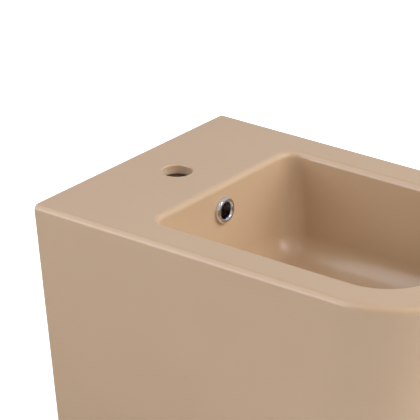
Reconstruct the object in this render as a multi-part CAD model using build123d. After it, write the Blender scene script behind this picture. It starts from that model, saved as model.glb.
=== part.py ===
"""Wall-hung bidet: a squared china body with its overflow, push-open waste and wall fixings.

Millimetres, +Z up, the front towards -Y. The origin lies on the wall plane, midway between the
two fixing studs. Depths are measured downwards from the rim's top plane.
"""
import math
import os

from build123d import *

# Outside of the china body
body_width = 350.0
body_length = 520.0
body_height = 300.0
rim_above_fixings = 85.0
side_taper = 35.0
front_setback = 85.0
front_corner_radius = 107.0
foot_corner_radius = 95.0
outer_edge_radius = 7.0
wall_edge_radius = 2.5
foot_edge_radius = 4.0

# China wall thicknesses
skirt_wall = 10.0
deck_wall = 11.0
rear_wall = 12.0
bowl_wall = 9.0

# Bowl
bowl_from_wall = 132.0
side_rim_width = 46.5
front_rim_width = 59.0
bowl_rear_radius = 18.0
bowl_front_radius = 62.0
bowl_edge_radius = 7.0
bowl_wall_depth = 120.0
bowl_fall = 12.0
bowl_side_lean = 10.5
bowl_rear_lean = 4.0
bowl_front_lean = 22.0
bowl_corner_growth = 16.0
bowl_foot_radius = 30.0

# Tap hole
tap_from_wall = 66.0
tap_hole_radius = 17.5
tap_mouth_radius = 2.0

# Overflow
overflow_depth = 31.5
overflow_hole_radius = 12.0
ring_bead_width = 6.0
ring_height = 5.0
ring_spigot_wall = 1.0
ring_spigot_length = 7.0
insert_length = 14.0
insert_wall = 0.9
insert_flange_wall = 0.6
insert_flange_overlap = 1.4
insert_tip_taper = 0.4
insert_hole_clearance = 0.45
channel_width = 28.0
channel_gap = 16.0
channel_wall = 7.0
channel_drop = 13.0
channel_head_room = 4.0
channel_turn_cut = 16.0
channel_below_bowl = 2.0

# Waste
waste_from_wall = 285.0
waste_hole_clearance = 1.545
seat_beyond_recess = 4.0
seat_side_flat = 1.0
recess_beyond_flange = 2.0
seat_recess_depth = 2.0
boss_radius = 42.0
boss_below_channel = 4.0
flange_radius = 31.0
flange_thickness = 2.5
flange_gasket_thickness = 2.0
flange_gasket_inset = 1.0
waste_thread_radius = 20.955
waste_tube_wall = 2.4
waste_thread_below_nut = 21.5
waste_groove_below_nut = 0.5
waste_groove_length = 1.5
waste_groove_cut = 1.0
mouth_cone_depth = 4.0
mouth_cone_growth = 3.5
window_width = 24.0
window_below_roof = 1.0
spider_below_windows = 20.0
spider_thickness = 6.0
spider_bar_width = 5.0
spider_hub_radius = 8.5
cone_seal_thickness = 10.0
cone_seal_radius = 31.0
cone_seal_nose = 4.0
cone_seal_taper = 1.0
slip_washer_thickness = 1.5
backnut_thickness = 12.0
backnut_ring_width = 9.0
backnut_lug_height = 4.0
backnut_lug_width = 10.0
backnut_lug_count = 6
backnut_edge_radius = 1.2
flange_edge_radius = 1.0

# Push-open latch and plug
plug_stroke = 8.0
plug_seated_gap = 0.3
cap_inset = 1.0
cap_rim_thickness = 3.0
cap_crown = 2.6
cap_edge_chamfer = 1.0
cap_hub_radius = 8.0
cap_hub_height = 7.0
plug_seal_thickness = 3.0
plug_seal_width = 4.0
spindle_radius = 4.0
spindle_pin_radius = 2.5
spindle_pin_length = 11.0
spindle_in_cap = 6.0
collar_thickness = 4.0
latch_thread_radius = 5.0
latch_tail_beyond_nut = 3.0
housing_wall = 2.0
chamber_radius = 8.0
chamber_length = 30.0
housing_floor = 4.0
cover_head = 4.0
cover_spigot = 3.0
rotor_radius = 6.2
rotor_thickness = 6.0
rotor_lug_width = 3.0
rotor_lug_count = 4
spring_wire = 1.0
spring_mean_radius = 4.6
spring_turns = 4.5
locknut_across_flats = 17.0
locknut_thickness = 5.0

# Wall fixings
stud_spacing = 180.0
stud_radius = 6.0
stud_in_wall = 45.0
stud_beyond_nut = 5.0
stud_end_chamfer = 1.0
stud_shank_radius = 5.43
stud_shank_beyond_wall = 1.0
stud_thread_behind_nut = 3.0
stud_pad_radius = 25.0
stud_pad_depth = 26.0
sleeve_wall = 1.9
sleeve_collar_radius = 14.0
sleeve_collar_thickness = 2.5
washer_radius = 15.0
washer_thickness = 2.5
nut_across_flats = 19.0
nut_thickness = 10.0
nut_corner_chamfer = 1.0
nut_cap_wall = 1.6
nut_cap_edge_radius = 3.2
nut_cap_room = 2.0
pipe_notch_half_width = 95.0
pipe_notch_below_fixings = 45.0
pipe_notch_radius = 20.0

# Clearances
thread_clearance = 0.05
running_clearance = 0.08
seat_clearance = 0.3
chamber_clearance = 0.5
cap_clearance = 0.6
cutter_overrun = 5.0
fuse_overlap = 1.0
plane_tolerance = 0.01

# Heights and places that follow from the sizes above
rim_z = rim_above_fixings
foot_z = rim_z - body_height
bowl_half_width = body_width / 2 - side_rim_width
bowl_front_y = -(body_length - front_rim_width)
seat_depth = bowl_wall_depth + bowl_fall
recess_depth = seat_depth + seat_recess_depth
channel_roof_depth = seat_depth + bowl_wall + channel_below_bowl
channel_floor_depth = channel_roof_depth + channel_drop
boss_foot_depth = channel_floor_depth + channel_wall + boss_below_channel
flange_under_depth = recess_depth - flange_gasket_thickness
flange_top_depth = flange_under_depth - flange_thickness
slip_washer_depth = boss_foot_depth + cone_seal_thickness
backnut_top_depth = slip_washer_depth + slip_washer_thickness
backnut_foot_depth = backnut_top_depth + backnut_thickness
waste_foot_depth = backnut_foot_depth + waste_thread_below_nut
window_top_depth = channel_roof_depth + window_below_roof
spider_top_depth = channel_floor_depth + spider_below_windows
spider_foot_depth = spider_top_depth + spider_thickness
chamber_floor_depth = spider_top_depth - housing_floor
housing_top_depth = chamber_floor_depth - chamber_length
cover_foot_depth = housing_top_depth + cover_spigot
cover_top_depth = housing_top_depth - cover_head
collar_top_depth = cover_foot_depth + seat_clearance
collar_foot_depth = collar_top_depth + collar_thickness
rotor_top_depth = collar_foot_depth + seat_clearance
rotor_foot_depth = rotor_top_depth + rotor_thickness
cap_under_depth = flange_top_depth - plug_seated_gap - plug_stroke
waste_bore_radius = waste_thread_radius - waste_tube_wall
waste_hole_radius = waste_thread_radius + waste_hole_clearance
mouth_radius = waste_bore_radius + mouth_cone_growth
seat_recess_radius = flange_radius + recess_beyond_flange
seat_half_width = seat_recess_radius + seat_beyond_recess
flange_gasket_radius = flange_radius - flange_gasket_inset
cap_radius = flange_radius - cap_inset
backnut_radius = waste_thread_radius + backnut_ring_width
backnut_lug_radius = backnut_radius + backnut_lug_height
housing_radius = chamber_radius + housing_wall
collar_radius = chamber_radius - chamber_clearance
rotor_lug_radius = chamber_radius - chamber_clearance
insert_radius = overflow_hole_radius - insert_hole_clearance
insert_bore_radius = insert_radius - insert_wall
spigot_radius = insert_bore_radius - thread_clearance
ring_bore_radius = spigot_radius - ring_spigot_wall
ring_outer_radius = ring_bore_radius + ring_bead_width
insert_flange_radius = overflow_hole_radius + insert_flange_overlap
sleeve_bore_radius = stud_radius + seat_clearance
sleeve_radius = sleeve_bore_radius + sleeve_wall
stud_hole_radius = sleeve_radius + seat_clearance
waste_y = -waste_from_wall
tap_y = -tap_from_wall
stud_places = {"left": -stud_spacing / 2, "right": stud_spacing / 2}


def height(depth):
    """Height of a plane that lies this deep below the rim."""
    return rim_z - depth


def plan_face(half_width, rear_y, front_y, rear_radius, front_radius, z):
    """Flat plan outline with its own rear and front corner radii. A rear radius of 0 is sharp."""
    middle_y = (rear_y + front_y) / 2
    outline = Pos(0, middle_y, z) * Rectangle(2 * half_width, rear_y - front_y)
    outline = fillet(outline.vertices().group_by(Axis.Y)[0], front_radius)
    if rear_radius > 0:
        outline = fillet(outline.vertices().group_by(Axis.Y)[-1], rear_radius)
    return outline.face()


def skirt_face(depth, inset, rear_y):
    """Plan section of the skirt, drawn in evenly from the rim down to the foot."""
    drawn = depth / body_height
    half_width = body_width / 2 - side_taper * drawn - inset
    front_y = -(body_length - front_setback * drawn - inset)
    corner = front_corner_radius + (foot_corner_radius - front_corner_radius) * drawn
    return plan_face(half_width, rear_y, front_y, 0, corner - inset, height(depth))


def bowl_face(depth, grow):
    """Plan section of the bowl, or of its outer surface where grow is the wall."""
    lean = depth / bowl_wall_depth
    half_width = bowl_half_width - bowl_side_lean * lean + grow
    rear_y = bowl_rear_y(depth) + grow
    front_y = bowl_front_y + bowl_front_lean * lean - grow
    rear_radius = bowl_rear_radius + bowl_corner_growth * lean + grow
    front_radius = bowl_front_radius + grow
    return plan_face(half_width, rear_y, front_y, rear_radius, front_radius, height(depth))


def bowl_rear_y(depth):
    """Where the bowl's rear wall stands at this depth."""
    return -(bowl_from_wall + bowl_rear_lean * depth / bowl_wall_depth)


def seat_face(depth, grow):
    """Plan section of the flat around the waste, where the bowl's floor ends."""
    half = seat_half_width + grow
    corner = half - seat_side_flat
    return plan_face(half, waste_y + half, waste_y - half, corner, corner, height(depth))


def bowl_form(grow, top_depth):
    """Solid of the bowl's hollow, or of its outer surface where grow is the wall."""
    base_depth = bowl_wall_depth + grow
    walls = loft([bowl_face(top_depth, grow), bowl_face(base_depth, grow)], ruled=True)
    floor = loft([bowl_face(base_depth, grow), seat_face(seat_depth + grow, grow)], ruled=True)
    form = walls + floor
    base_z = height(base_depth)
    base_edges = form.edges().filter_by_position(Axis.Z, base_z - plane_tolerance, base_z + plane_tolerance)
    return fillet(base_edges, bowl_foot_radius + grow)


def disc(radius, top_depth, foot_depth, y=0.0):
    """Upright round bar between two depths."""
    middle = height((top_depth + foot_depth) / 2)
    return Pos(0, y, middle) * Cylinder(radius, foot_depth - top_depth)


def bore(radius, top_depth, foot_depth, y=0.0):
    """Round cutter that runs past both ends of an upright bar."""
    return disc(radius, top_depth - cutter_overrun, foot_depth + cutter_overrun, y)


def turned(profile, centre_y=0.0):
    """Solid turned about an upright axis from (radius, height) points."""
    with BuildPart() as part:
        with BuildSketch(Plane.XZ):
            with BuildLine():
                Polyline(*profile, close=True)
            make_face()
        revolve(axis=Axis.Z)
    return Pos(0, centre_y, 0) * part.part


def tube(bore_radius, radius, top_depth, foot_depth, y=0.0):
    """Upright ring or tube between two depths."""
    return disc(radius, top_depth, foot_depth, y) - bore(bore_radius, top_depth, foot_depth, y)


def wall_bar(radius, from_y, to_y, x=0.0):
    """Round bar square to the wall, at the height of the fixings."""
    return Pos(x, (from_y + to_y) / 2, 0) * Rot(90, 0, 0) * Cylinder(radius, abs(to_y - from_y))


def wall_tube(bore_radius, radius, from_y, to_y, x):
    """Ring or tube square to the wall, at the height of the fixings."""
    low = min(from_y, to_y) - cutter_overrun
    high = max(from_y, to_y) + cutter_overrun
    return wall_bar(radius, from_y, to_y, x) - wall_bar(bore_radius, low, high, x)


def hexagon_prism(across_flats, thickness):
    """Hexagon of a nut, centred on the origin, along Z."""
    return extrude(RegularPolygon(across_flats / 2, 6, major_radius=False), thickness / 2, both=True)


def outer_skirt():
    """The body's outside as a full solid, with its rounded edges."""
    form = loft([skirt_face(0, 0, cutter_overrun), skirt_face(body_height, 0, cutter_overrun)], ruled=True)
    form = split(form, bisect_by=Plane.XZ, keep=Keep.TOP)
    rim_edges = form.edges().group_by(Axis.Z)[-1].sort_by(Axis.Y)
    form = fillet(rim_edges[:-1], outer_edge_radius)
    foot_edges = form.edges().group_by(Axis.Z)[0].sort_by(Axis.Y)
    form = fillet(foot_edges[:-1], foot_edge_radius)
    rear_face = form.faces().sort_by(Axis.Y)[-1]
    return fillet(rear_face.edges(), wall_edge_radius)


def channel_void():
    """The cast-in overflow passage: down behind the bowl, then forward to the waste hole."""
    top_depth = overflow_depth - overflow_hole_radius - channel_head_room
    turn_depth = channel_roof_depth - channel_turn_cut
    near_top = bowl_rear_y(top_depth) + bowl_wall
    near_turn = bowl_rear_y(turn_depth) + bowl_wall
    far_y = near_top + channel_gap
    end_y = waste_y + waste_hole_radius - cutter_overrun
    profile = [
        (near_top, height(top_depth)),
        (near_turn, height(turn_depth)),
        (near_turn - channel_turn_cut, height(channel_roof_depth)),
        (end_y, height(channel_roof_depth)),
        (end_y, height(channel_floor_depth)),
        (far_y, height(channel_floor_depth)),
        (far_y, height(top_depth)),
    ]
    return make_face(Plane.YZ * Polyline(*profile, close=True))


def overflow_plane():
    """Plane on the bowl's rear wall at the overflow, facing into the bowl."""
    lean = bowl_rear_lean / bowl_wall_depth
    centre = (0, bowl_rear_y(overflow_depth), height(overflow_depth))
    return Plane(origin=centre, x_dir=(1, 0, 0), z_dir=(0, -1, lean))


def stud_pads():
    """Thickened pads inside the rear wall that carry the fixings."""
    return [wall_bar(stud_pad_radius, -fuse_overlap, -stud_pad_depth, x) for x in stud_places.values()]


def pipe_notch():
    """Opening in the rear wall for the supply hoses and the trap."""
    top_z = -pipe_notch_below_fixings
    low_z = foot_z - pipe_notch_radius - cutter_overrun
    outline = Rectangle(2 * pipe_notch_half_width, top_z - low_z)
    outline = fillet(outline.vertices(), pipe_notch_radius)
    depth = rear_wall + 2 * cutter_overrun
    cutter = extrude(outline, depth / 2, both=True)
    return Pos(0, -rear_wall / 2, (top_z + low_z) / 2) * Rot(90, 0, 0) * cutter


def make_bidet_body():
    """The glazed china body, one solid."""
    outside = outer_skirt()
    cavity_top = skirt_face(deck_wall, skirt_wall, -rear_wall)
    cavity_foot = skirt_face(body_height + cutter_overrun, skirt_wall, -rear_wall)
    cavity = loft([cavity_top, cavity_foot], ruled=True)
    void_face = channel_void()
    duct_face = offset(void_face, channel_wall, kind=Kind.INTERSECTION)
    duct = extrude(duct_face, channel_width / 2 + channel_wall, both=True)
    boss = disc(boss_radius, bowl_wall_depth, boss_foot_depth, waste_y)
    inside = bowl_form(bowl_wall, fuse_overlap) + boss + duct
    for pad in stud_pads():
        inside += pad
    body = (outside - cavity) + (inside & outside)
    body -= bowl_form(0, -cutter_overrun)
    body -= disc(seat_recess_radius, seat_depth - cutter_overrun, recess_depth, waste_y)
    body -= bore(waste_hole_radius, recess_depth, boss_foot_depth, waste_y)
    body -= extrude(void_face, channel_width / 2, both=True)
    body -= overflow_plane() * Cylinder(overflow_hole_radius, 2 * (bowl_wall + cutter_overrun))
    body -= Pos(0, tap_y, rim_z - deck_wall / 2) * Cylinder(tap_hole_radius, deck_wall + 2 * cutter_overrun)
    for x in stud_places.values():
        body -= wall_bar(stud_hole_radius, cutter_overrun, -stud_pad_depth - cutter_overrun, x)
    body -= pipe_notch()
    top_face = body.faces().filter_by(Axis.Z).sort_by(Axis.Z)[-1]
    openings = sorted(top_face.inner_wires(), key=lambda wire: wire.length)
    body = fillet(openings[-1].edges(), bowl_edge_radius)
    top_face = body.faces().filter_by(Axis.Z).sort_by(Axis.Z)[-1]
    openings = sorted(top_face.inner_wires(), key=lambda wire: wire.length)
    return fillet(openings[0].edges(), tap_mouth_radius)


def make_overflow_trim_ring():
    """Round-nosed chromed ring with the spigot that clips into the insert."""
    bead_radius = ring_bead_width / 2
    nose = (ring_bore_radius + bead_radius, ring_height)
    shoulder = ring_height - bead_radius
    with BuildPart() as ring:
        with BuildSketch(Plane.XZ):
            with BuildLine():
                Line((ring_bore_radius, shoulder), (ring_bore_radius, -ring_spigot_length))
                Line((ring_bore_radius, -ring_spigot_length), (spigot_radius, -ring_spigot_length))
                Line((spigot_radius, -ring_spigot_length), (spigot_radius, insert_flange_wall))
                Line((spigot_radius, insert_flange_wall), (insert_flange_radius, insert_flange_wall))
                Line((insert_flange_radius, insert_flange_wall), (insert_flange_radius, 0))
                Line((insert_flange_radius, 0), (ring_outer_radius, 0))
                Line((ring_outer_radius, 0), (ring_outer_radius, shoulder))
                ThreePointArc((ring_outer_radius, shoulder), nose, (ring_bore_radius, shoulder))
            make_face()
        revolve(axis=Axis.Z)
    return overflow_plane() * ring.part


def make_overflow_insert():
    """Plastic sleeve in the overflow hole, with a tapered tip and a thin flange under the ring."""
    flange_rim = insert_flange_radius - thread_clearance
    flange_top = insert_flange_wall - thread_clearance
    profile = [
        (insert_bore_radius, flange_top),
        (insert_bore_radius, -insert_length),
        (insert_radius - insert_tip_taper, -insert_length),
        (insert_radius, -insert_length / 2),
        (insert_radius, 0),
        (flange_rim, 0),
        (flange_rim, flange_top),
    ]
    return overflow_plane() * turned(profile)


def make_waste_body():
    """Slotted brass waste: flange, tube, overflow windows and the spider that holds the latch."""
    groove_top = height(backnut_foot_depth + waste_groove_below_nut)
    groove_foot = groove_top - waste_groove_length
    profile = [
        (mouth_radius, height(flange_top_depth)),
        (flange_radius, height(flange_top_depth)),
        (flange_radius, height(flange_under_depth)),
        (waste_thread_radius, height(flange_under_depth)),
        (waste_thread_radius, groove_top),
        (waste_thread_radius - waste_groove_cut, groove_top),
        (waste_thread_radius - waste_groove_cut, groove_foot),
        (waste_thread_radius, groove_foot),
        (waste_thread_radius, height(waste_foot_depth)),
        (waste_bore_radius, height(waste_foot_depth)),
        (waste_bore_radius, height(flange_top_depth + mouth_cone_depth)),
    ]
    body = turned(profile, waste_y)
    rim = body.edges().filter_by(GeomType.CIRCLE).group_by(Axis.Z)[-1].sort_by(SortBy.RADIUS)[-1]
    body = fillet(rim, flange_edge_radius)
    window_height = channel_floor_depth - window_top_depth
    window_middle = height(window_top_depth + window_height / 2)
    for turn in (0, 90):
        window = Box(window_width, 3 * waste_thread_radius, window_height)
        body -= Pos(0, waste_y, window_middle) * Rot(0, 0, turn) * window
    spider_middle = height((spider_top_depth + spider_foot_depth) / 2)
    for turn in (45, 135):
        bar = Box(2 * waste_bore_radius + waste_tube_wall, spider_bar_width, spider_thickness)
        body += Pos(0, waste_y, spider_middle) * Rot(0, 0, turn) * bar
    body += disc(spider_hub_radius, spider_top_depth, spider_foot_depth, waste_y)
    return body - bore(latch_thread_radius + thread_clearance, spider_top_depth, spider_foot_depth, waste_y)


def make_waste_flange_gasket():
    """Flat rubber ring under the flange."""
    gasket_bore = waste_thread_radius + seat_clearance
    return tube(gasket_bore, flange_gasket_radius, flange_under_depth, recess_depth, waste_y)


def make_waste_cone_seal():
    """Rubber seal under the boss, with a tapered nose that enters the hole."""
    seal_bore = waste_thread_radius + seat_clearance
    nose_radius = waste_hole_radius - seat_clearance
    profile = [
        (seal_bore, height(boss_foot_depth - cone_seal_nose)),
        ((seal_bore + nose_radius) / 2, height(boss_foot_depth - cone_seal_nose)),
        (nose_radius, height(boss_foot_depth)),
        (cone_seal_radius, height(boss_foot_depth)),
        (cone_seal_radius - cone_seal_taper, height(boss_foot_depth + cone_seal_thickness)),
        (seal_bore, height(boss_foot_depth + cone_seal_thickness)),
    ]
    return turned(profile, waste_y)


def make_waste_slip_washer():
    """Thin washer that lets the backnut turn without dragging the seal."""
    washer_bore = waste_thread_radius + seat_clearance
    return tube(washer_bore, cone_seal_radius, slip_washer_depth, backnut_top_depth, waste_y)


def make_waste_backnut():
    """Lugged ring nut on the waste's thread."""
    nut = disc(backnut_radius, backnut_top_depth, backnut_foot_depth, waste_y)
    middle = height((backnut_top_depth + backnut_foot_depth) / 2)
    lug_length = 2 * backnut_lug_radius
    for number in range(backnut_lug_count // 2):
        turn = number * 360 / backnut_lug_count
        lug = Box(lug_length, backnut_lug_width, backnut_thickness)
        nut += Pos(0, waste_y, middle) * Rot(0, 0, turn) * lug
    nut -= bore(waste_thread_radius + thread_clearance, backnut_top_depth, backnut_foot_depth, waste_y)
    return fillet(nut.edges().filter_by(Axis.Z), backnut_edge_radius)


def make_plug_cap():
    """Domed cap with the hub that takes the spindle."""
    rim_top = cap_under_depth - cap_rim_thickness
    hub_foot = cap_under_depth + cap_hub_height
    shoulder = cap_radius - cap_edge_chamfer
    under = height(cap_under_depth)
    brow = height(rim_top)
    crown = (0, brow + cap_crown)
    with BuildPart() as cap:
        with BuildSketch(Plane.XZ):
            with BuildLine():
                Line((0, under), (shoulder, under))
                Line((shoulder, under), (cap_radius, under + cap_edge_chamfer))
                Line((cap_radius, under + cap_edge_chamfer), (cap_radius, brow - cap_edge_chamfer))
                Line((cap_radius, brow - cap_edge_chamfer), (shoulder, brow))
                TangentArc(crown, (shoulder, brow), tangent=(1, 0))
                Line(crown, (0, under))
            make_face()
        revolve(axis=Axis.Z)
    form = Pos(0, waste_y, 0) * cap.part
    form += disc(cap_hub_radius, cap_under_depth - fuse_overlap, hub_foot, waste_y)
    socket_radius = spindle_radius + thread_clearance
    return form - disc(socket_radius, hub_foot - spindle_in_cap, hub_foot + cutter_overrun, waste_y)


def make_plug_seal():
    """Tapered rubber ring under the cap, parallel to the waste's mouth."""
    lean = mouth_cone_growth / mouth_cone_depth
    foot_depth = cap_under_depth + plug_seal_thickness
    top_radius = mouth_radius - seat_clearance
    foot_radius = top_radius - lean * (plug_seal_thickness - plug_seated_gap) - seat_clearance
    profile = [
        (top_radius, height(cap_under_depth)),
        (foot_radius, height(foot_depth)),
        (top_radius - plug_seal_width - mouth_cone_growth, height(foot_depth)),
        (top_radius - plug_seal_width - mouth_cone_growth, height(cap_under_depth)),
    ]
    return turned(profile, waste_y)


def make_plug_spindle():
    """Stem from the cap's hub down to the latch, with its collar and rotor pin."""
    top = cap_under_depth + cap_hub_height - spindle_in_cap + thread_clearance
    stem = disc(spindle_radius, top, collar_top_depth, waste_y)
    stem += disc(collar_radius, collar_top_depth, collar_foot_depth, waste_y)
    return stem + disc(spindle_pin_radius, collar_foot_depth, collar_foot_depth + spindle_pin_length, waste_y)


def make_latch_housing():
    """Barrel of the latch, with the threaded tail that goes through the spider."""
    barrel = disc(housing_radius, housing_top_depth, spider_top_depth, waste_y)
    barrel -= disc(chamber_radius, housing_top_depth - cutter_overrun, chamber_floor_depth, waste_y)
    tail_foot = spider_foot_depth + locknut_thickness + latch_tail_beyond_nut
    return barrel + disc(latch_thread_radius, spider_top_depth, tail_foot, waste_y)


def make_latch_cover():
    """Bush that closes the barrel and guides the spindle."""
    bush = disc(housing_radius, cover_top_depth, housing_top_depth, waste_y)
    bush += disc(chamber_radius - thread_clearance, housing_top_depth, cover_foot_depth, waste_y)
    return bush - bore(spindle_radius + running_clearance, cover_top_depth, cover_foot_depth, waste_y)


def make_latch_rotor():
    """Ring with lugs that turns a step at each push."""
    ring = disc(rotor_radius, rotor_top_depth, rotor_foot_depth, waste_y)
    middle = height((rotor_top_depth + rotor_foot_depth) / 2)
    for number in range(rotor_lug_count // 2):
        turn = number * 360 / rotor_lug_count
        lug = Box(2 * rotor_lug_radius, rotor_lug_width, rotor_thickness)
        reach = Cylinder(rotor_lug_radius, rotor_thickness)
        ring += Pos(0, waste_y, middle) * Rot(0, 0, turn) * (lug & reach)
    return ring - bore(spindle_pin_radius + running_clearance, rotor_top_depth, rotor_foot_depth, waste_y)


def make_latch_spring():
    """Compression spring between the rotor and the barrel's floor."""
    foot = chamber_floor_depth - seat_clearance - spring_wire / 2
    head = rotor_foot_depth + seat_clearance + spring_wire / 2
    rise = foot - head
    pitch = rise / spring_turns
    squeezed_pitch = (rise - plug_stroke) / spring_turns
    print(f"spring: least gap between turns {pitch - spring_wire:.2f} mm")
    print(f"spring: least gap with the plug pressed {squeezed_pitch - spring_wire:.2f} mm")
    path = Helix(pitch, rise, spring_mean_radius)
    section = Plane(origin=path @ 0, z_dir=path % 0) * Circle(spring_wire / 2)
    return Pos(0, waste_y, height(foot)) * sweep(section, path)


def make_latch_locknut():
    """Hexagon nut that pulls the barrel down on the spider."""
    nut = hexagon_prism(locknut_across_flats, locknut_thickness)
    nut -= Cylinder(latch_thread_radius + thread_clearance, 2 * locknut_thickness)
    return Pos(0, waste_y, height(spider_foot_depth + locknut_thickness / 2)) * nut


def make_wall_stud(x):
    """Stud with a thread in the wall and one at the nut, and a thinner rolled shank between them."""
    inner_end = -(nut_face_y() + nut_thickness + stud_beyond_nut)
    inner_thread_start = -(nut_face_y() - stud_thread_behind_nut)
    run_out = stud_radius - stud_shank_radius
    profile = [
        (0, stud_in_wall),
        (stud_radius - stud_end_chamfer, stud_in_wall),
        (stud_radius, stud_in_wall - stud_end_chamfer),
        (stud_radius, stud_shank_beyond_wall + run_out),
        (stud_shank_radius, stud_shank_beyond_wall),
        (stud_shank_radius, inner_thread_start),
        (stud_radius, inner_thread_start - run_out),
        (stud_radius, inner_end + stud_end_chamfer),
        (stud_radius - stud_end_chamfer, inner_end),
        (0, inner_end),
    ]
    return Pos(x, 0, 0) * Rot(-90, 0, 0) * turned(profile)


def washer_face_y():
    """How far inside the wall plane the washer starts."""
    return stud_pad_depth + sleeve_collar_thickness


def nut_face_y():
    """How far inside the wall plane the nut starts."""
    return washer_face_y() + washer_thickness


def make_stud_sleeve(x):
    """Plastic sleeve that keeps the stud off the china, with its collar."""
    shank = wall_tube(sleeve_bore_radius, sleeve_radius, -seat_clearance, -stud_pad_depth, x)
    collar = wall_tube(sleeve_bore_radius, sleeve_collar_radius, -stud_pad_depth, -washer_face_y(), x)
    return shank + collar


def make_stud_washer(x):
    """Flat steel washer."""
    return wall_tube(stud_radius + seat_clearance, washer_radius, -washer_face_y(), -nut_face_y(), x)


def make_stud_nut(x):
    """Hexagon nut with chamfered corners."""
    nut = hexagon_prism(nut_across_flats, nut_thickness)
    corner_radius = nut_across_flats / math.sqrt(3)
    blank = Cylinder(corner_radius, nut_thickness)
    crown = chamfer(blank.edges().filter_by(GeomType.CIRCLE), nut_corner_chamfer)
    nut = (nut & crown) - Cylinder(stud_radius + thread_clearance, 2 * nut_thickness)
    return Pos(x, -(nut_face_y() + nut_thickness / 2), 0) * Rot(90, 0, 0) * nut


def make_nut_cap(x):
    """Push-on plastic cap over the nut and the stud's end."""
    inside_radius = nut_across_flats / math.sqrt(3) + cap_clearance
    inside_length = nut_thickness + stud_beyond_nut + nut_cap_room
    start = -nut_face_y()
    cap = wall_bar(inside_radius + nut_cap_wall, start, start - inside_length - nut_cap_wall, x)
    end_edge = cap.edges().filter_by(GeomType.CIRCLE).sort_by(Axis.Y)[0]
    cap = fillet(end_edge, nut_cap_edge_radius)
    return cap - wall_bar(inside_radius, start + cutter_overrun, start - inside_length, x)


def make_parts():
    """Every piece by its node name."""
    parts = {
        "bidet_body": make_bidet_body(),
        "overflow_trim_ring": make_overflow_trim_ring(),
        "overflow_insert": make_overflow_insert(),
        "waste_body": make_waste_body(),
        "waste_flange_gasket": make_waste_flange_gasket(),
        "waste_cone_seal": make_waste_cone_seal(),
        "waste_slip_washer": make_waste_slip_washer(),
        "waste_backnut": make_waste_backnut(),
        "plug_cap": make_plug_cap(),
        "plug_seal": make_plug_seal(),
        "plug_spindle": make_plug_spindle(),
        "latch_housing": make_latch_housing(),
        "latch_cover": make_latch_cover(),
        "latch_rotor": make_latch_rotor(),
        "latch_spring": make_latch_spring(),
        "latch_locknut": make_latch_locknut(),
    }
    for side, x in stud_places.items():
        parts[f"wall_stud_{side}"] = make_wall_stud(x)
        parts[f"stud_sleeve_{side}"] = make_stud_sleeve(x)
        parts[f"stud_washer_{side}"] = make_stud_washer(x)
        parts[f"stud_nut_{side}"] = make_stud_nut(x)
        parts[f"nut_cap_{side}"] = make_nut_cap(x)
    return parts


def main():
    os.makedirs("parts", exist_ok=True)
    for name, shape in make_parts().items():
        export_step(shape, f"parts/{name}.step")


main()
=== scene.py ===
import math

import bpy
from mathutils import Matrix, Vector


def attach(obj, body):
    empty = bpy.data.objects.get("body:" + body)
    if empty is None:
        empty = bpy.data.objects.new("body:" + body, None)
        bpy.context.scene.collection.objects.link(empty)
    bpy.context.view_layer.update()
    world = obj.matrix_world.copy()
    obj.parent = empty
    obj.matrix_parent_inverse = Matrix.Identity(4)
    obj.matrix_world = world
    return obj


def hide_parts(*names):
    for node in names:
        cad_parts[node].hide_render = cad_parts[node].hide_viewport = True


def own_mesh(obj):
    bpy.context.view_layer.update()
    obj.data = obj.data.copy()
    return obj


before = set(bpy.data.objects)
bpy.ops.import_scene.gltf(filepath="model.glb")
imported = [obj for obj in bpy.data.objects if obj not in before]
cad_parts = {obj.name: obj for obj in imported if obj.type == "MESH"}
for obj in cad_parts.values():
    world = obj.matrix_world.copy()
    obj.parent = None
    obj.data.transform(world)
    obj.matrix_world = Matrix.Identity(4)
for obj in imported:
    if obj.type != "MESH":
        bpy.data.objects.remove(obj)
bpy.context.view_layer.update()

bl_info = {
    "name": "Wall-hung bidet",
    "version": (1, 0, 0),
    "blender": (4, 5, 0),
    "location": "3D View > Sidebar > Bidet",
    "description": "Finishes and fine pieces of a squared wall-hung bidet, with its studio stage",
    "category": "Object",
}

MM = 0.001
SIDES = ("left", "right")

# Making: overlap of joined pieces and nearness of merged points in millimetres, and the smoothed angle
OVERLAP = 0.2
MERGE_WITHIN = 0.002
CUT_WITHIN = 0.001
SMOOTH_BELOW = 32

# Camera of the photograph, in pixels, metres and degrees
PHOTO_SIZE = 420.0
PHOTO_FOCAL = 2823.5
SENSOR_WIDTH = 36.0
CAMERA_PLACE = (-2.3416, -1.9010, 1.3161)
CAMERA_TURN = 37.356
CAMERA_RISE = 23.286

# Soft boxes: direction from the bidet, width and height in metres, power in watts, and colour.
# The two wide ones in front are left out of reflections: the deck, seen from the wall, would mirror them
LIGHT_TARGET = (0.0, -0.25, 0.0)
SOFT_BOX_DISTANCE = 4.0
UNREFLECTED = ("front_high", "front_right_high")
SOFT_BOXES = {
    "rear_left_high": ((-0.49, 0.56, 0.67), (4.0, 4.0), 80, (0.95, 0.99, 1.0)),
    "front_high": ((0, -0.75, 0.6), (3.6, 3.0), 134, (0.96, 0.93, 0.89)),
    "front_strip": ((0, -0.75, 0.66), (0.3, 3.0), 20, (1.0, 1.0, 1.0)),
    "front_right_high": ((0.6, -0.6, 0.5), (3.2, 3.0), 112, (0.86, 0.95, 1.0)),
    "rear_left_low": ((-0.8, 0.6, 0.2), (3.0, 1.6), 52, (1.0, 0.95, 0.97)),
}
WALL_COLOUR = (0.95, 0.99, 1.16, 1)
FLOOR_SIZE = 9.0
FLOOR_GREY = 0.8

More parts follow.
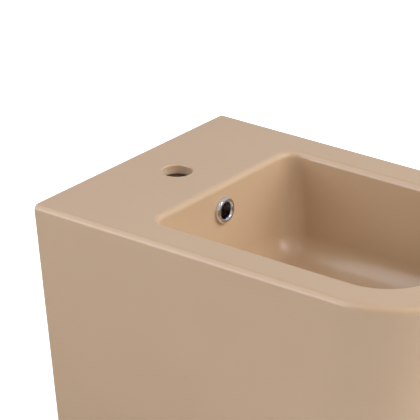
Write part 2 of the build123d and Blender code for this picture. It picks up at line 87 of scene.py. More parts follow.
# Outline of the china in millimetres, for the places where its finish changes. The glazed faces of the bowl
# all look towards the point ABOVE_BOWL
RIM_HEIGHT = 85.0
FOOT_DEPTH = 300.0
RIM_HALF_WIDTH = 175.0
RIM_LENGTH = 520.0
SIDE_TAPER = 35.0
FRONT_SETBACK = 85.0
CORNER_RADIUS = 101.0
SKIRT_MIDDLE = 5.0
BOWL_HALF_WIDTH = 134.0
BOWL_REAR = -127.0
BOWL_FRONT = -467.0
BOWL_FOOT = -51.5
ABOVE_BOWL = (0.0, -295.0, 250.0)

# Waste in millimetres: heights in the frame, radii from its own axis
WASTE_Y = -285.0
WASTE_TOP = -44.5
FLANGE_UNDER = -47.0
WASTE_FOOT = -127.0
FLANGE_RADIUS = 31.0
FLANGE_EDGE = 1.0
THREAD_RADIUS = 20.955
BORE_RADIUS = 18.555
MOUTH_RADIUS = 22.055
MOUTH_FOOT = -48.5
THREAD_TOP = -74.0
GROOVE_TOP = -106.0
GROOVE_FOOT = -107.5
GROOVE_RADIUS = 19.955
WINDOW_WIDTH = 24.0
WINDOW_TOP = -59.0
WINDOW_FOOT = -71.0
SPIDER_TOP = -91.0
SPIDER_FOOT = -97.0
SPIDER_WIDTH = 5.0
HUB_RADIUS = 8.5
HUB_BORE_RADIUS = 5.05

# Latch spring in millimetres
SPRING_FOOT = -86.7
SPRING_HEAD = -70.9
SPRING_RADIUS = 4.6
SPRING_WIRE_RADIUS = 0.5
SPRING_TURNS = 4.5
SPRING_STEPS = 32
SPRING_WIRE_SIDES = 12

# Wall studs in millimetres, from the wall plane
STUD_X = 90.0
STUD_RADIUS = 6.0
STUD_SHANK_RADIUS = 5.43
STUD_WALL_END = 45.0
STUD_SHANK_FROM = 1.0
STUD_SHANK_TO = -28.0
STUD_INNER_END = -46.0
STUD_CHAMFER = 1.0
STUD_THREAD_STEPS = 36

# Screw threads as shares of their pitch, and the number of sides of a round piece
THREAD_DEPTH_OF_PITCH = 0.6134
CREST_OF_PITCH = 1 / 8
ROOT_OF_PITCH = 1 / 4
ROUND_STEPS = 64

# Name, darker and paler colour, and roughness of each plastic
GREY_PLASTIC = ("grey_plastic", "4E4F50", "5C5D5E", 0.55)
WHITE_PLASTIC = ("white_plastic", "DDDCD6", "E8E7E2", 0.4)


def linear(colour):
    """Linear RGBA of an sRGB hex colour."""
    channels = [int(colour[i:i + 2], 16) / 255 for i in (0, 2, 4)]
    return tuple(c / 12.92 if c <= 0.04045 else ((c + 0.055) / 1.055) ** 2.4 for c in channels) + (1.0,)


def add_node(tree, kind, values=None, links=None, **settings):
    """Adds a node, sets its properties and input values, and links its inputs to (node, output) pairs."""
    node = tree.nodes.new(kind)
    for name, value in settings.items():
        setattr(node, name, value)
    for name, value in (values or {}).items():
        node.inputs[name].default_value = value
    for name, (source, output) in (links or {}).items():
        tree.links.new(source.outputs[output], node.inputs[name])
    return node


def math_node(tree, operation, first, second):
    """A maths node whose two inputs are numbers or (node, output) pairs."""
    node = add_node(tree, "ShaderNodeMath", operation=operation)
    for index, value in enumerate((first, second)):
        if isinstance(value, tuple):
            tree.links.new(value[0].outputs[value[1]], node.inputs[index])
        else:
            node.inputs[index].default_value = value
    return node, 0


def new_material(name):
    """An empty node material and its Object coordinates in metres."""
    material = bpy.data.materials.new(name)
    material.use_nodes = True
    tree = material.node_tree
    tree.nodes.clear()
    return material, tree, add_node(tree, "ShaderNodeTexCoord")


def patches(tree, place, size_mm, detail=2.0):
    """Soft cloudy patches of this size."""
    return add_node(
        tree, "ShaderNodeTexNoise", {"Scale": 1000 / size_mm, "Detail": detail}, {"Vector": (place, "Object")},
    )


def mixed(tree, factor, first, second):
    """Mix of two colours, each an RGBA colour or a (node, output) pair."""
    mix = add_node(tree, "ShaderNodeMix", links={"Factor": factor}, data_type="RGBA")
    # Inputs 6 and 7 of this node are its two colours, and output 2 is their mix
    for index, colour in ((6, first), (7, second)):
        if len(colour) == 2:
            tree.links.new(colour[0].outputs[colour[1]], mix.inputs[index])
        else:
            mix.inputs[index].default_value = colour
    return mix, 2


def ranged(tree, source, low, high):
    """The 0 to 1 value of a (node, output) pair spread from low to high."""
    return add_node(tree, "ShaderNodeMapRange", {"To Min": low, "To Max": high}, {"Value": source}), 0


def relief(tree, source, depth_mm, strength=1.0):
    """Bumps of this depth from a (node, output) pair."""
    return add_node(
        tree, "ShaderNodeBump", {"Strength": strength, "Distance": depth_mm * MM}, {"Height": source},
    ), "Normal"


def finish(material, tree, values, links):
    """Ends a material in one principled shader."""
    shader = add_node(tree, "ShaderNodeBsdfPrincipled", values, links)
    add_node(tree, "ShaderNodeOutputMaterial", links={"Surface": (shader, 0)})
    return material


def bare_sides(tree, place):
    """1 on the china's raw inner faces and 0 on its glazed ones, with the split place and normal."""
    axes = add_node(tree, "ShaderNodeSeparateXYZ", links={"Vector": (place, "Object")})
    shape = add_node(tree, "ShaderNodeNewGeometry")
    faces = add_node(tree, "ShaderNodeSeparateXYZ", links={"Vector": (shape, "Normal")})
    depth = math_node(tree, "SUBTRACT", RIM_HEIGHT * MM, (axes, "Z"))
    drawn_side = math_node(tree, "MULTIPLY", depth, SIDE_TAPER / FOOT_DEPTH)
    drawn_front = math_node(tree, "MULTIPLY", depth, FRONT_SETBACK / FOOT_DEPTH)
    across = math_node(tree, "ADD", math_node(tree, "ABSOLUTE", (axes, "X"), 0.0), drawn_side)
    along = math_node(tree, "SUBTRACT", drawn_front, (axes, "Y"))
    past_x = math_node(tree, "SUBTRACT", across, (RIM_HALF_WIDTH - CORNER_RADIUS) * MM)
    past_y = math_node(tree, "SUBTRACT", along, (RIM_LENGTH - CORNER_RADIUS) * MM)
    corner_x = math_node(tree, "POWER", math_node(tree, "MAXIMUM", past_x, 0.0), 2.0)
    corner_y = math_node(tree, "POWER", math_node(tree, "MAXIMUM", past_y, 0.0), 2.0)
    reach = math_node(tree, "SQRT", math_node(tree, "ADD", corner_x, corner_y), 0.0)
    within = math_node(tree, "LESS_THAN", reach, (CORNER_RADIUS - SKIRT_MIDDLE) * MM)
    off_wall = math_node(tree, "LESS_THAN", (axes, "Y"), -SKIRT_MIDDLE * MM)
    below_deck = math_node(tree, "LESS_THAN", (axes, "Z"), (RIM_HEIGHT - SKIRT_MIDDLE) * MM)
    inside = math_node(tree, "MULTIPLY", math_node(tree, "MULTIPLY", within, off_wall), below_deck)
    bowl_x = math_node(tree, "LESS_THAN", math_node(tree, "ABSOLUTE", (axes, "X"), 0.0), BOWL_HALF_WIDTH * MM)
    bowl_rear = math_node(tree, "LESS_THAN", (axes, "Y"), BOWL_REAR * MM)
    bowl_front = math_node(tree, "GREATER_THAN", (axes, "Y"), BOWL_FRONT * MM)
    bowl_foot = math_node(tree, "GREATER_THAN", (axes, "Z"), BOWL_FOOT * MM)
    in_bowl = math_node(
        tree, "MULTIPLY",
        math_node(tree, "MULTIPLY", bowl_x, bowl_rear), math_node(tree, "MULTIPLY", bowl_front, bowl_foot),
    )
    above_bowl = [distance * MM for distance in ABOVE_BOWL]
    upwards = add_node(
        tree, "ShaderNodeVectorMath", {0: above_bowl}, {1: (place, "Object")}, operation="SUBTRACT",
    )
    facing = add_node(
        tree, "ShaderNodeVectorMath", links={0: (upwards, 0), 1: (shape, "Normal")}, operation="DOT_PRODUCT",
    )
    faces_in = math_node(tree, "GREATER_THAN", (facing, "Value"), 0.0)
    glazed = math_node(tree, "MULTIPLY", in_bowl, faces_in)
    return math_node(tree, "MULTIPLY", inside, math_node(tree, "SUBTRACT", 1.0, glazed)), axes, faces


def glazed_china(look):
    """Vitreous china: satin glaze outside and in the bowl, a thin coat inside, bare clay at the wall."""
    material, tree, place = new_material("glazed_china")
    inside, axes, faces = bare_sides(tree, place)
    # Sprayed glaze pools a little thicker and thinner over a hand's width, which shifts its tone
    cloud = patches(tree, place, 110)
    glaze = mixed(tree, (cloud, "Fac"), look.glaze_dark, look.glaze_light)
    # Inside, one thin coat over the cast body dries paler and streaky
    streak = patches(tree, place, 28, 4.0)
    thin_coat = mixed(tree, (streak, "Fac"), look.thin_coat_dark, look.thin_coat_light)
    # The face that bears on the wall is ground flat and left bare, with a grain of fired clay
    grain = patches(tree, place, 1.6, 3.0)
    clay = mixed(tree, (grain, "Fac"), look.clay_dark, look.clay_light)
    at_wall = math_node(tree, "GREATER_THAN", (axes, "Y"), -0.3 * MM)
    bare = math_node(tree, "MULTIPLY", at_wall, math_node(tree, "GREATER_THAN", (faces, "Y"), 0.7))
    colour = mixed(tree, bare, mixed(tree, inside, glaze, thin_coat), clay)
    # The satin sheen has a faint ripple; the thin coat is duller and lumpy from the mould; the clay is matt
    gloss = math_node(tree, "MULTIPLY", inside, look.thin_coat_roughness - look.glaze_roughness)
    uneven = patches(tree, place, 45)
    sheen = ranged(tree, (uneven, "Fac"), look.glaze_roughness - 0.015, look.glaze_roughness + 0.015)
    matt = math_node(tree, "MULTIPLY", bare, 0.85)
    rough = math_node(tree, "MAXIMUM", math_node(tree, "ADD", sheen, gloss), matt)
    ripple = patches(tree, place, 7, 1.0)
    lumps = patches(tree, place, 16, 3.0)
    mould = math_node(tree, "MULTIPLY", (lumps, "Fac"), inside)
    tooth = math_node(tree, "MULTIPLY", (grain, "Fac"), math_node(tree, "MULTIPLY", bare, 0.15))
    height = math_node(
        tree, "ADD", math_node(tree, "MULTIPLY", (ripple, "Fac"), 0.03), math_node(tree, "ADD", mould, tooth),
    )
    return finish(
        material, tree, {"IOR": 1.68},
        {"Base Color": colour, "Roughness": rough, "Normal": relief(tree, height, 0.6)},
    )


def polished_chrome(look):
    """Bright chrome plate: near mirror, with faint wiping marks and the dips of the polished brass."""
    material, tree, place = new_material("polished_chrome")
    wipe = patches(tree, place, 6, 4.0)
    dips = patches(tree, place, 9, 1.0)
    return finish(
        material, tree, {"Base Color": look.chrome, "Metallic": 1.0},
        {
            "Roughness": ranged(tree, (wipe, "Fac"), look.chrome_roughness, look.chrome_roughness + 0.07),
            "Normal": relief(tree, (dips, "Fac"), 0.05, 0.4),
        },
    )


def turned_brass(look):
    """Bare machined brass: warm, with fine tool rings and a brown bloom where it was handled."""
    material, tree, place = new_material("turned_brass")
    bloom = patches(tree, place, 5, 4.0)
    colour = mixed(tree, ranged(tree, (bloom, "Fac"), 0.0, 1.0), look.brass, look.brass_bloom)
    rings = add_node(
        tree, "ShaderNodeTexWave", {"Scale": 420.0, "Distortion": 0.6, "Detail": 1.0},
        {"Vector": (place, "Object")}, wave_type="BANDS", bands_direction="Z",
    )
    return finish(
        material, tree, {"Metallic": 1.0},
        {
            "Base Color": colour, "Roughness": ranged(tree, (bloom, "Fac"), 0.24, 0.42),
            "Normal": relief(tree, (rings, "Fac"), 0.02, 0.5),
        },
    )


def zinc_plated_steel(look):
    """Bright zinc on steel: mottled grey with a cool and a straw tint from the passivation."""
    material, tree, place = new_material("zinc_plated_steel")
    mottle = patches(tree, place, 4, 3.0)
    tint = mixed(tree, (mottle, "Fac"), look.zinc_cool, look.zinc_straw)
    pits = patches(tree, place, 0.5, 2.0)
    return finish(
        material, tree, {"Metallic": 1.0},
        {
            "Base Color": tint, "Roughness": ranged(tree, (mottle, "Fac"), 0.26, 0.46),
            "Normal": relief(tree, (pits, "Fac"), 0.02, 0.5),
        },
    )


def spring_steel(look):
    """Drawn and oiled spring wire: dark grey, with fine pulling marks along it."""
    material, tree, place = new_material("spring_steel")
    marks = patches(tree, place, 0.8, 3.0)
    return finish(
        material, tree, {"Metallic": 1.0},
        {
            "Base Color": mixed(tree, (marks, "Fac"), look.wire_dark, look.wire_light),
            "Roughness": ranged(tree, (marks, "Fac"), 0.28, 0.45),
        },
    )


def black_rubber(look):
    """Moulded rubber: soft black with a chalky bloom and the dull grain of its mould."""
    material, tree, place = new_material("black_rubber")
    bloom = patches(tree, place, 12, 4.0)
    grain = patches(tree, place, 0.6, 2.0)
    return finish(
        material, tree, {"IOR": 1.5},
        {
            "Base Color": mixed(tree, (bloom, "Fac"), look.rubber, look.rubber_bloom),
            "Roughness": ranged(tree, (bloom, "Fac"), 0.55, 0.78),
            "Normal": relief(tree, (grain, "Fac"), 0.04, 0.6),
        },
    )


def moulded_plastic(name, dark, light, roughness):
    """Moulded plastic: even tone with slight flow clouds and a fine spark-eroded grain."""
    material, tree, place = new_material(name)
    flow = patches(tree, place, 14, 3.0)
    grain = patches(tree, place, 0.4, 1.0)
    return finish(
        material, tree, {"IOR": 1.49},
        {
            "Base Color": mixed(tree, (flow, "Fac"), linear(dark), linear(light)),
            "Roughness": ranged(tree, (flow, "Fac"), roughness - 0.05, roughness + 0.05),
            "Normal": relief(tree, (grain, "Fac"), 0.02, 0.5),
        },
    )


def made_once(name, maker, *values):
    """The material of this name, made the first time it is asked for."""
    return bpy.data.materials.get(name) or maker(*values)


def give(material, *node_names):
    """Puts a material on nodes of the frame."""
    for name in node_names:
        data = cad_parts[name].data
        data.materials.clear()
        data.materials.append(material)


def deselect():
    """Leaves nothing selected, for the operators that act on all that is."""
    bpy.ops.object.select_all(action="DESELECT")


def make_active(piece):
    """Selects one piece alone."""
    deselect()
    piece.select_set(True)
    bpy.context.view_layer.objects.active = piece


def apply_modifiers(piece):
    """Applies a piece's modifiers in order."""
    make_active(piece)
    for modifier in list(piece.modifiers):
        bpy.ops.object.modifier_apply(modifier=modifier.name)


def line_through(name, points):
    """Draws a line through (radius, height) points in millimetres, vertex by vertex."""
    deselect()
    (radius, height), *rest = points
    bpy.ops.mesh.primitive_plane_add(size=MM)
    piece = bpy.context.active_object
    piece.name = piece.data.name = name
    bpy.ops.object.mode_set(mode="EDIT")
    bpy.ops.mesh.select_mode(type="VERT")
    bpy.ops.mesh.merge(type="CENTER")
    bpy.ops.transform.translate(value=(radius * MM, 0, height * MM))
    for next_radius, next_height in rest:
        step = ((next_radius - radius) * MM, 0, (next_height - height) * MM)
        bpy.ops.mesh.extrude_vertices_move(TRANSFORM_OT_translate={"value": step})
        radius, height = next_radius, next_height
    bpy.ops.object.mode_set(mode="OBJECT")
    return piece


def clean(piece):
    """Merges doubles, drops loose edges, closes slits and turns the faces outwards."""
    make_active(piece)
    bpy.ops.object.mode_set(mode="EDIT")
    bpy.ops.mesh.select_all(action="SELECT")
    bpy.ops.mesh.remove_doubles(threshold=MERGE_WITHIN * MM)
    bpy.ops.mesh.delete_loose()
    bpy.ops.mesh.select_all(action="SELECT")
    bpy.ops.mesh.fill_holes(sides=4)
    bpy.ops.mesh.normals_make_consistent(inside=False)
    bpy.ops.object.mode_set(mode="OBJECT")


def turned(name, points, steps=ROUND_STEPS):
    """Turns a closed outline of (radius, height) points about the upright axis."""
    piece = line_through(name, [*points, points[0]])
    screw = piece.modifiers.new("turn", "SCREW")
    screw.steps = screw.render_steps = steps
    screw.use_merge_vertices = True
    screw.merge_threshold = MERGE_WITHIN * MM
    apply_modifiers(piece)
    clean(piece)
    return piece


def cut_off(piece, height, keep_below):
    """Saws a piece flat at this height in millimetres and closes the cut."""
    make_active(piece)
    bpy.ops.object.mode_set(mode="EDIT")
    bpy.ops.mesh.select_all(action="SELECT")
    bpy.ops.mesh.bisect(
        plane_co=(0, 0, height * MM), plane_no=(0, 0, 1), use_fill=True,
        clear_outer=keep_below, clear_inner=not keep_below, threshold=CUT_WITHIN * MM,
    )
    bpy.ops.object.mode_set(mode="OBJECT")


def threaded_bar(name, radius, pitch, low, high, steps):
    """Round bar with a real screw thread between two heights."""
    root = radius - pitch * THREAD_DEPTH_OF_PITCH
    start = low - 1.5 * pitch
    flat = pitch * ROOT_OF_PITCH / 2
    crest = pitch * CREST_OF_PITCH / 2
    outline = [
        (root, start),
        (root, start + flat),
        (radius, start + pitch / 2 - crest),
        (radius, start + pitch / 2 + crest),
        (root, start + pitch - flat),
        (root, start + pitch),
    ]
    piece = line_through(name, outline)
    screw = piece.modifiers.new("thread", "SCREW")
    screw.steps = screw.render_steps = steps
    screw.screw_offset = pitch * MM
    screw.iterations = math.ceil((high - low) / pitch) + 2
    apply_modifiers(piece)
    clean(piece)
    cut_off(piece, low, keep_below=False)
    cut_off(piece, high, keep_below=True)
    clean(piece)
    return piece


def chamfer_end(piece, height, radius, chamfer):
    """Turns down a bar's end at this height, where it starts its thread."""
    for vertex in piece.data.vertices:
        allowed = (radius - chamfer) * MM + abs(vertex.co.z - height * MM)
        reach = math.hypot(vertex.co.x, vertex.co.y)
        if reach > allowed:
            vertex.co.x *= allowed / reach
            vertex.co.y *= allowed / reach


def combine(piece, tool, operation):
    """Unites a piece with a tool, or cuts it by the tool, which is then deleted."""
    boolean = piece.modifiers.new(operation.lower(), "BOOLEAN")
    boolean.operation = operation
    boolean.solver = "EXACT"
    boolean.object = tool
    apply_modifiers(piece)
    bpy.data.objects.remove(tool)


def block(name, size, middle, turn=0.0):
    """Bar of this size, turned about the upright axis, with its place in its mesh."""
    deselect()
    middle = [distance * MM for distance in middle]
    bpy.ops.mesh.primitive_cube_add(size=MM, scale=size, location=middle, rotation=(0, 0, turn))
    piece = bpy.context.active_object
    piece.name = piece.data.name = name
    bpy.ops.object.transform_apply(location=True, rotation=True, scale=True)
    return piece


def place(piece, x, y, lies_down=False):
    """Moves a piece made on the upright axis to its place, or lays it square to the wall."""
    make_active(piece)
    piece.location = (x * MM, y * MM, 0)
    piece.rotation_euler = (-math.pi / 2 if lies_down else 0, 0, 0)
    bpy.ops.object.transform_apply(location=True, rotation=True, scale=True)


def join(piece, *others):
    """Joins pieces that touch into one."""
    make_active(piece)
    for other in others:
        other.select_set(True)
    bpy.ops.object.join()


def settle(piece, material, body, slot, *nodes):
    """Smooths a finished piece, gives it its material, and lets it stand for its CAD nodes on their body."""
    make_active(piece)
    bpy.ops.object.shade_smooth_by_angle(angle=math.radians(SMOOTH_BELOW))
    piece.data.materials.clear()
    piece.data.materials.append(material)
    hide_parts(*nodes)
    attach(piece, body)


def colour(name, description, default):
    """A colour to choose, whose default is an sRGB hex colour."""
    return bpy.props.FloatVectorProperty(
        name=name, description=description, default=linear(default), size=4, subtype="COLOR", min=0.0, max=1.0,
    )


class BidetLook(bpy.types.PropertyGroup):
    """Sizes and colours that a user would change."""

    glaze_dark: colour("Glaze, thick", "Colour of the satin glaze where it lies thick", "BA9C7E")
    glaze_light: colour("Glaze, thin", "Colour of the satin glaze where it lies thin", "BFA284")
    thin_coat_dark: colour("Inner coat, dark", "Darker tone of the coat inside the body", "B49A80")
    thin_coat_light: colour("Inner coat, pale", "Paler tone of the coat inside the body", "C6B199")
    clay_dark: colour("Fired clay, dark", "Darker grain of the bare clay", "CFC3B2")
    clay_light: colour("Fired clay, pale", "Paler grain of the bare clay", "E0D7C8")
    chrome: colour("Chrome", "Colour of the chrome plate", "E2E4E7")
    brass: colour("Brass", "Colour of the bare brass", "D2B06A")
    brass_bloom: colour("Brass bloom", "Colour of the brass where it has browned", "A98548")
    zinc_cool: colour("Zinc, cool", "Cooler tone of the zinc plate", "B9BEC4")
    zinc_straw: colour("Zinc, straw", "Warmer tone of the zinc plate", "CBC8B8")
    wire_dark: colour("Spring wire, dark", "Darker tone of the spring's wire", "6E7074")
    wire_light: colour("Spring wire, pale", "Paler tone of the spring's wire", "8C8E92")
    rubber: colour("Rubber", "Colour of the rubber", "161616")
    rubber_bloom: colour("Rubber bloom", "Colour of the rubber's chalky bloom", "2A2A29")
    glaze_roughness: bpy.props.FloatProperty(
        name="Glaze roughness", description="How matt the satin glaze is", default=0.3, min=0.02, max=0.98,
    )
    thin_coat_roughness: bpy.props.FloatProperty(
        name="Inner coat roughness", description="How matt the coat inside the body is",
        default=0.62, min=0.0, max=1.0,
    )
    chrome_roughness: bpy.props.FloatProperty(
        name="Chrome roughness", description="How dull the chrome plate is", default=0.03, min=0.0, max=0.9,
    )
    stud_pitch: bpy.props.FloatProperty(
        name="Stud thread pitch", description="Distance between two turns of the wall studs' thread, in mm",
        default=1.75, min=0.5,
    )
    waste_pitch: bpy.props.FloatProperty(
        name="Waste thread pitch", description="Distance between two turns of the waste's thread, in mm",
        default=2.309, min=0.5,
    )
    floor_drop: bpy.props.FloatProperty(
        name="Rim above floor", description="Height of the rim above the floor once the bidet hangs",
        default=0.4, unit="LENGTH",
    )
    fill_light: bpy.props.FloatProperty(
        name="Fill light", description="Strength of the even light from all round", default=0.07, min=0.0,
    )
    wall_glow: bpy.props.FloatProperty(
        name="Wall brightness", description="How bright the studio's walls look in reflections",
        default=0.54, min=0.0,
    )


class BIDET_OT_china(bpy.types.Operator):
    """Glazes the china body"""

    bl_idname = "bidet.china"
    bl_label = "China body"

    def execute(self, context):
        give(glazed_china(context.scene.bidet_look), "bidet_body")
        return {"FINISHED"}


class BIDET_OT_overflow(bpy.types.Operator):
    """Finishes the overflow ring and its insert"""

    bl_idname = "bidet.overflow"
    bl_label = "Overflow"

    def execute(self, context):
        give(made_once("polished_chrome", polished_chrome, context.scene.bidet_look), "overflow_trim_ring")
        give(moulded_plastic(*GREY_PLASTIC), "overflow_insert")
        return {"FINISHED"}


class BIDET_OT_waste(bpy.types.Operator):
    """Makes the slotted waste with its thread, and finishes its seals and nut"""

    bl_idname = "bidet.waste"
    bl_label = "Waste"

    def execute(self, context):
        look = context.scene.bidet_look
        waste = threaded_bar(
            "waste_body_threaded", THREAD_RADIUS, look.waste_pitch, WASTE_FOOT, THREAD_TOP, ROUND_STEPS,
        )
        chamfer_end(waste, WASTE_FOOT, THREAD_RADIUS, FLANGE_EDGE)
        flange = turned("flange", [
            (0, WASTE_TOP), (FLANGE_RADIUS - FLANGE_EDGE, WASTE_TOP),
            (FLANGE_RADIUS - 0.3 * FLANGE_EDGE, WASTE_TOP - 0.3 * FLANGE_EDGE),
            (FLANGE_RADIUS, WASTE_TOP - FLANGE_EDGE), (FLANGE_RADIUS, FLANGE_UNDER),
            (THREAD_RADIUS, FLANGE_UNDER), (THREAD_RADIUS, THREAD_TOP - OVERLAP), (0, THREAD_TOP - OVERLAP),
        ])
        combine(waste, flange, "UNION")
        groove = turned("groove", [
            (GROOVE_RADIUS, GROOVE_TOP), (FLANGE_RADIUS, GROOVE_TOP),
            (FLANGE_RADIUS, GROOVE_FOOT), (GROOVE_RADIUS, GROOVE_FOOT),
        ])
        combine(waste, groove, "DIFFERENCE")
        flare = (MOUTH_RADIUS - BORE_RADIUS) / (WASTE_TOP - MOUTH_FOOT)
        bore = turned("bore", [
            (0, WASTE_TOP + 1), (MOUTH_RADIUS + flare, WASTE_TOP + 1), (BORE_RADIUS, MOUTH_FOOT),
            (BORE_RADIUS, WASTE_FOOT - 1), (0, WASTE_FOOT - 1),
        ])
        combine(waste, bore, "DIFFERENCE")
        middle = (WINDOW_TOP + WINDOW_FOOT) / 2
        for turn in (0, math.pi / 2):
            size = (WINDOW_WIDTH, 3 * THREAD_RADIUS, WINDOW_TOP - WINDOW_FOOT)
            combine(waste, block("window", size, (0, 0, middle), turn), "DIFFERENCE")
        middle = (SPIDER_TOP + SPIDER_FOOT) / 2
        thickness = SPIDER_TOP - SPIDER_FOOT
        spider = turned("spider", [
            (0, SPIDER_TOP + OVERLAP / 2), (HUB_RADIUS, SPIDER_TOP + OVERLAP / 2),
            (HUB_RADIUS, SPIDER_FOOT), (0, SPIDER_FOOT),
        ])
        for turn in (math.pi / 4, 3 * math.pi / 4):
            size = (2 * BORE_RADIUS + 1, SPIDER_WIDTH, thickness)
            combine(spider, block("bar", size, (0, 0, middle), turn), "UNION")
        combine(spider, turned("hole", [
            (0, SPIDER_TOP + 1), (HUB_BORE_RADIUS, SPIDER_TOP + 1),
            (HUB_BORE_RADIUS, SPIDER_FOOT - 1), (0, SPIDER_FOOT - 1),
        ]), "DIFFERENCE")
        combine(waste, spider, "UNION")
        place(waste, 0, WASTE_Y)
        clean(waste)
        chrome = made_once("polished_chrome", polished_chrome, look)
        settle(waste, chrome, "body", "chromed_brass", "waste_body")
        brass = made_once("turned_brass", turned_brass, look)
        rubber = made_once("black_rubber", black_rubber, look)
        zinc = made_once("zinc_plated_steel", zinc_plated_steel, look)
        give(rubber, "waste_flange_gasket", "waste_cone_seal")
        give(zinc, "waste_slip_washer")
        give(brass, "waste_backnut")
        return {"FINISHED"}


class BIDET_OT_plug(bpy.types.Operator):
    """Finishes the plug with its seal and spindle"""

    bl_idname = "bidet.plug"
    bl_label = "Plug"

    def execute(self, context):
        look = context.scene.bidet_look
        give(made_once("polished_chrome", polished_chrome, look), "plug_cap")
        give(made_once("black_rubber", black_rubber, look), "plug_seal")
        give(made_once("turned_brass", turned_brass, look), "plug_spindle")
        return {"FINISHED"}


class BIDET_OT_latch(bpy.types.Operator):
    """Winds the latch's spring and finishes its barrel, cover, rotor and locknut"""

    bl_idname = "bidet.latch"
    bl_label = "Latch"

    def execute(self, context):
        look = context.scene.bidet_look
        pitch = (SPRING_HEAD - SPRING_FOOT - 2 * SPRING_WIRE_RADIUS) / SPRING_TURNS
        deselect()
        bpy.ops.mesh.primitive_circle_add(
            vertices=SPRING_WIRE_SIDES, radius=SPRING_WIRE_RADIUS * MM, rotation=(math.pi / 2, 0, 0),
            location=(SPRING_RADIUS * MM, 0, (SPRING_FOOT + SPRING_WIRE_RADIUS) * MM),
        )
        spring = bpy.context.active_object
        spring.name = spring.data.name = "latch_spring_wound"
        bpy.ops.object.transform_apply(location=True, rotation=True, scale=True)
        screw = spring.modifiers.new("wind", "SCREW")
        screw.angle = SPRING_TURNS * 2 * math.pi
        screw.screw_offset = pitch * SPRING_TURNS * MM
        screw.steps = screw.render_steps = round(SPRING_STEPS * SPRING_TURNS)
        apply_modifiers(spring)
        bpy.ops.object.mode_set(mode="EDIT")
        bpy.ops.mesh.select_all(action="DESELECT")
        bpy.ops.mesh.select_mode(type="EDGE")
        bpy.ops.mesh.select_non_manifold()
        bpy.ops.mesh.edge_face_add()
        bpy.ops.object.mode_set(mode="OBJECT")
        place(spring, 0, WASTE_Y)
        clean(spring)
        settle(spring, spring_steel(look), "body", "spring_steel", "latch_spring")
        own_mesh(spring)
        give(made_once("polished_chrome", polished_chrome, look), "latch_housing")
        give(made_once("turned_brass", turned_brass, look), "latch_cover", "latch_locknut")
        give(made_once("white_plastic", moulded_plastic, *WHITE_PLASTIC), "latch_rotor")
        return {"FINISHED"}


class BIDET_OT_fixings(bpy.types.Operator):
    """Makes the threaded wall studs and finishes the sleeves, washers, nuts and caps"""

    bl_idname = "bidet.fixings"
    bl_label = "Wall fixings"

    def execute(self, context):
        look = context.scene.bidet_look
        zinc = made_once("zinc_plated_steel", zinc_plated_steel, look)
        white = made_once("white_plastic", moulded_plastic, *WHITE_PLASTIC)
        for side, x in zip(SIDES, (-STUD_X, STUD_X)):
            name = f"wall_stud_{side}_threaded"
            stud = threaded_bar(
                name, STUD_RADIUS, look.stud_pitch, STUD_SHANK_FROM, STUD_WALL_END, STUD_THREAD_STEPS,
            )
            chamfer_end(stud, STUD_WALL_END, STUD_RADIUS, STUD_CHAMFER)
            chamfer_end(stud, STUD_SHANK_FROM, STUD_RADIUS, STUD_RADIUS - STUD_SHANK_RADIUS)
            inner = threaded_bar(
                "inner", STUD_RADIUS, look.stud_pitch, STUD_INNER_END, STUD_SHANK_TO, STUD_THREAD_STEPS,
            )
            chamfer_end(inner, STUD_INNER_END, STUD_RADIUS, STUD_CHAMFER)
            chamfer_end(inner, STUD_SHANK_TO, STUD_RADIUS, STUD_RADIUS - STUD_SHANK_RADIUS)
            shank = turned("shank", [
                (0, STUD_SHANK_FROM + OVERLAP), (STUD_SHANK_RADIUS, STUD_SHANK_FROM + OVERLAP),
                (STUD_SHANK_RADIUS, STUD_SHANK_TO - OVERLAP), (0, STUD_SHANK_TO - OVERLAP),
            ])
            join(stud, inner, shank)
            place(stud, x, 0, lies_down=True)
            settle(stud, zinc, "body", "zinc_steel", f"wall_stud_{side}")
            give(zinc, f"stud_washer_{side}", f"stud_nut_{side}")
            give(white, f"stud_sleeve_{side}", f"nut_cap_{side}")
        return {"FINISHED"}


def soft_box(name, direction, size, power, colour):
    """A soft box of this width and height in this direction from the bidet, facing it."""
    light = bpy.data.lights.new(name, "AREA")
    light.shape = "RECTANGLE"
    light.size, light.size_y = size
    light.energy = power
    light.color = colour
    lamp = bpy.data.objects.new(name, light)
    lamp.visible_glossy = name not in UNREFLECTED
    away = Vector(direction).normalized()
    lamp.location = Vector(LIGHT_TARGET) + away * SOFT_BOX_DISTANCE
    lamp.rotation_euler = away.to_track_quat("Z", "Y").to_euler()
    bpy.context.scene.collection.objects.link(lamp)


def studio_world(look):
    """The studio's walls: white to the camera, pale in reflections, and a weak even light."""
    world = bpy.data.worlds.new("studio")
    world.use_nodes = True
    tree = world.node_tree
    tree.nodes.clear()
    path = add_node(tree, "ShaderNodeLightPath")
    fill = add_node(tree, "ShaderNodeBackground", {"Color": (1, 1, 1, 1), "Strength": look.fill_light})
    pale = add_node(tree, "ShaderNodeBackground", {"Color": WALL_COLOUR, "Strength": look.wall_glow})
    white = add_node(tree, "ShaderNodeBackground", {"Color": (1, 1, 1, 1), "Strength": 1.0})
    bright = add_node(tree, "ShaderNodeMixShader", links={0: (path, "Is Glossy Ray"), 1: (fill, 0), 2: (pale, 0)})
    straight = math_node(tree, "MAXIMUM", (path, "Is Camera Ray"), (path, "Is Transmission Ray"))
    seen = add_node(tree, "ShaderNodeMixShader", links={0: straight, 1: (bright, 0), 2: (white, 0)})
    add_node(tree, "ShaderNodeOutputWorld", links={"Surface": (seen, 0)})
    bpy.context.scene.world = world


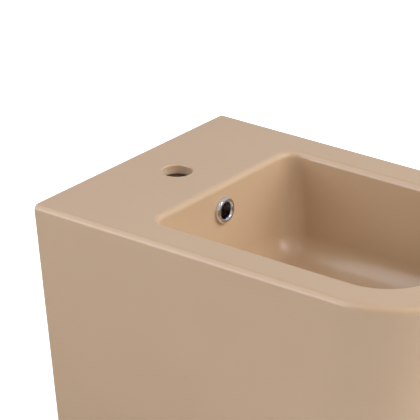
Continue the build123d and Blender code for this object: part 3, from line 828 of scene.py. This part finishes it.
def photo_camera():
    """The camera, where the photograph was taken from."""
    camera = bpy.data.cameras.new("camera")
    camera.sensor_width = SENSOR_WIDTH
    camera.lens = PHOTO_FOCAL / PHOTO_SIZE * SENSOR_WIDTH
    eye = bpy.data.objects.new("camera", camera)
    turn = math.radians(CAMERA_TURN)
    rise = math.radians(CAMERA_RISE)
    gaze = Vector((math.cos(rise) * math.cos(turn), math.cos(rise) * math.sin(turn), -math.sin(rise)))
    eye.location = CAMERA_PLACE
    eye.rotation_euler = gaze.to_track_quat("-Z", "Y").to_euler()
    bpy.context.scene.collection.objects.link(eye)
    bpy.context.scene.camera = eye


class BIDET_OT_stage(bpy.types.Operator):
    """Adds the floor, the studio light and the camera at the photograph's view"""

    bl_idname = "bidet.stage"
    bl_label = "Stage"

    def execute(self, context):
        look = context.scene.bidet_look
        deselect()
        bpy.ops.mesh.primitive_plane_add(size=FLOOR_SIZE, location=(0, 0, RIM_HEIGHT * MM - look.floor_drop))
        floor = context.active_object
        floor.name = "floor"
        material, tree, _ = new_material("pale_floor")
        # White to the camera, matt pale grey to the light that it throws back, and clear from below
        path = add_node(tree, "ShaderNodeLightPath")
        shape = add_node(tree, "ShaderNodeNewGeometry")
        matt = add_node(tree, "ShaderNodeBsdfDiffuse", {"Color": (FLOOR_GREY, FLOOR_GREY, FLOOR_GREY, 1)})
        glow = add_node(tree, "ShaderNodeEmission", {"Color": (1, 1, 1, 1)}, {"Strength": (path, "Is Camera Ray")})
        both = add_node(tree, "ShaderNodeAddShader", links={0: (matt, 0), 1: (glow, 0)})
        clear = add_node(tree, "ShaderNodeBsdfTransparent")
        from_below = math_node(tree, "MULTIPLY", (shape, "Backfacing"), (path, "Is Camera Ray"))
        seen = add_node(tree, "ShaderNodeMixShader", links={0: from_below, 1: (both, 0), 2: (clear, 0)})
        add_node(tree, "ShaderNodeOutputMaterial", links={"Surface": (seen, 0)})
        floor.data.materials.append(material)
        studio_world(look)
        for name, values in SOFT_BOXES.items():
            soft_box(name, *values)
        photo_camera()
        context.scene.view_settings.view_transform = "Standard"
        return {"FINISHED"}


class VIEW3D_PT_bidet(bpy.types.Panel):
    """Lists the looks and the steps that dress the bidet"""

    bl_label = "Bidet"
    bl_space_type = "VIEW_3D"
    bl_region_type = "UI"
    bl_category = "Bidet"

    def draw(self, context):
        look = context.scene.bidet_look
        for name in BidetLook.__annotations__:
            self.layout.prop(look, name)
        for step in STEPS:
            self.layout.operator(step.bl_idname)


STEPS = (
    BIDET_OT_china, BIDET_OT_overflow, BIDET_OT_waste, BIDET_OT_plug, BIDET_OT_latch, BIDET_OT_fixings,
    BIDET_OT_stage,
)
CLASSES = (BidetLook, *STEPS, VIEW3D_PT_bidet)


def register():
    for cls in CLASSES:
        bpy.utils.register_class(cls)
    bpy.types.Scene.bidet_look = bpy.props.PointerProperty(type=BidetLook)


def unregister():
    del bpy.types.Scene.bidet_look
    for cls in reversed(CLASSES):
        bpy.utils.unregister_class(cls)


def main():
    """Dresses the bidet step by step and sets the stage."""
    register()
    bpy.ops.bidet.china()
    bpy.ops.bidet.overflow()
    bpy.ops.bidet.waste()
    bpy.ops.bidet.plug()
    bpy.ops.bidet.latch()
    bpy.ops.bidet.fixings()
    bpy.ops.bidet.stage()


if __name__ == "__main__":
    main()
